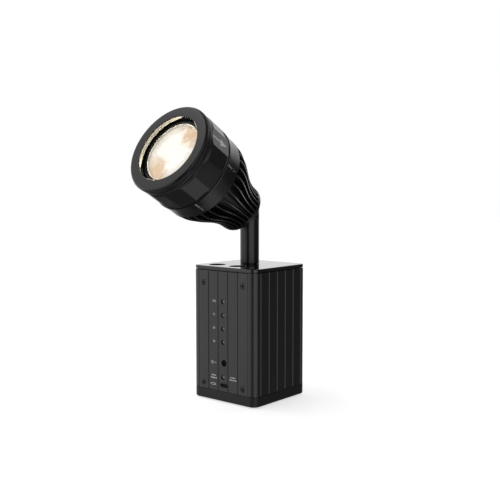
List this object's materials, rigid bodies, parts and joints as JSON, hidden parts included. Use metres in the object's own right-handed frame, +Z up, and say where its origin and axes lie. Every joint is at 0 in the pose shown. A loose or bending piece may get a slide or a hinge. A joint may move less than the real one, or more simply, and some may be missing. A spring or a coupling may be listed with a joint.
{
  "type": "follow spot",
  "caption": "Small battery follow spot: a finned zoom lamp head that tilts on a swivelling round post above a square battery base with a control panel.",
  "frame": {"origin": "middle of the foot pad's underside, on the surface the base stands on", "axes": "+Z up along the post; -Y out of the control panel, the way the lamp points; +X to the right seen from the panel side"},
  "size_m": [0.0828, 0.1643, 0.2661],
  "materials": {
    "anodised_body": "satin",
    "satin_black": "satin",
    "gloss_top": "gloss",
    "black_plastic": "matte",
    "button_black": "matte",
    "rubber": "matte",
    "screw_black": "satin",
    "steel": "satin",
    "bare_aluminium": "polished",
    "nylon": "matte",
    "circuit_board": "satin",
    "cell_wrap": "satin",
    "weight_iron": "matte",
    "lamp_clear": "satin",
    "emitter": "satin",
    "lens_glass": "polished"
  },
  "bodies": {
    "base": {"base_housing": "anodised_body", "front_panel": "anodised_body", "panel_screw_1": "screw_black", "panel_screw_2": "screw_black", "panel_screw_3": "screw_black", "panel_screw_4": "screw_black", "top_plate": "gloss_top", "bottom_cap": "black_plastic", "bottom_screw_1": "screw_black", "bottom_screw_2": "screw_black", "bottom_screw_3": "screw_black", "bottom_screw_4": "screw_black", "foot_pad": "rubber", "base_weight": "weight_iron", "cell_tray": "black_plastic", "battery_cell_1": "cell_wrap", "battery_cell_2": "cell_wrap", "battery_cell_3": "cell_wrap", "battery_cell_4": "cell_wrap", "cell_clamp": "black_plastic", "main_board": "circuit_board", "level_lamp_1": "lamp_clear", "level_lamp_2": "lamp_clear", "level_lamp_3": "lamp_clear", "level_lamp_4": "lamp_clear", "charge_lamp": "lamp_clear", "power_switch": "black_plastic", "usb_socket": "steel", "button_board": "circuit_board", "pan_washer_upper": "nylon", "pan_washer_lower": "nylon"},
    "power_button": {"power_button": "button_black"},
    "top_button_1": {"top_button_1": "button_black"},
    "top_button_2": {"top_button_2": "button_black"},
    "post": {"post": "satin_black", "pan_nut": "steel", "tilt_washer": "nylon"},
    "head": {"tilt_stub": "satin_black", "tilt_bolt": "steel", "tilt_nut": "steel", "stub_screw_1": "screw_black", "stub_screw_2": "screw_black", "stub_screw_3": "screw_black", "heat_sink": "anodised_body", "driver_board": "circuit_board", "led_plate": "bare_aluminium", "led_module": "emitter", "reflector": "bare_aluminium", "index_band": "anodised_body"},
    "barrel": {"zoom_barrel": "anodised_body", "dust_seal": "rubber", "trim_ring": "satin_black", "front_bezel": "satin_black"},
    "lens": {"lens_carrier": "satin_black", "front_lens": "lens_glass", "lens_ring": "satin_black", "guide_pin_1": "steel", "guide_pin_2": "steel"}
  },
  "joints": [
    {"name": "pan", "type": "hinge", "parent": "base", "child": "post", "pos_m": [0, 0, 0.12], "axis": [0, 0, 1], "range_deg": [-170, 170]},
    {"name": "tilt", "type": "hinge", "parent": "post", "child": "head", "pos_m": [0, 0, 0.1703], "axis": [-1, 0, 0], "range_deg": [-29.7, 60.3]},
    {"name": "zoom", "type": "hinge", "parent": "head", "child": "barrel", "pos_m": [0, 0, 0.1703], "axis": [0, -0.8686, 0.4955], "range_deg": [-83.1, 42.4]},
    {"name": "lens_focus", "type": "slide", "parent": "head", "child": "lens", "axis": [0, -0.8686, 0.4955], "range_m": [-0.0067, 0.0035]},
    {"name": "power_press", "type": "slide", "parent": "base", "child": "power_button", "axis": [0, 1, 0], "range_m": [0, 0.0006], "stiffness_N_per_m": 800, "springref_m": -0.0008},
    {"name": "top_press_1", "type": "slide", "parent": "base", "child": "top_button_1", "axis": [0, 0, -1], "range_m": [0, 0.0007], "stiffness_N_per_m": 800, "springref_m": -0.0008},
    {"name": "top_press_2", "type": "slide", "parent": "base", "child": "top_button_2", "axis": [0, 0, -1], "range_m": [0, 0.0007], "stiffness_N_per_m": 800, "springref_m": -0.0008}
  ],
  "couplings": [
    {"joint": "lens_focus", "follows": "zoom", "m_per_rad": 0.0046}
  ]
}
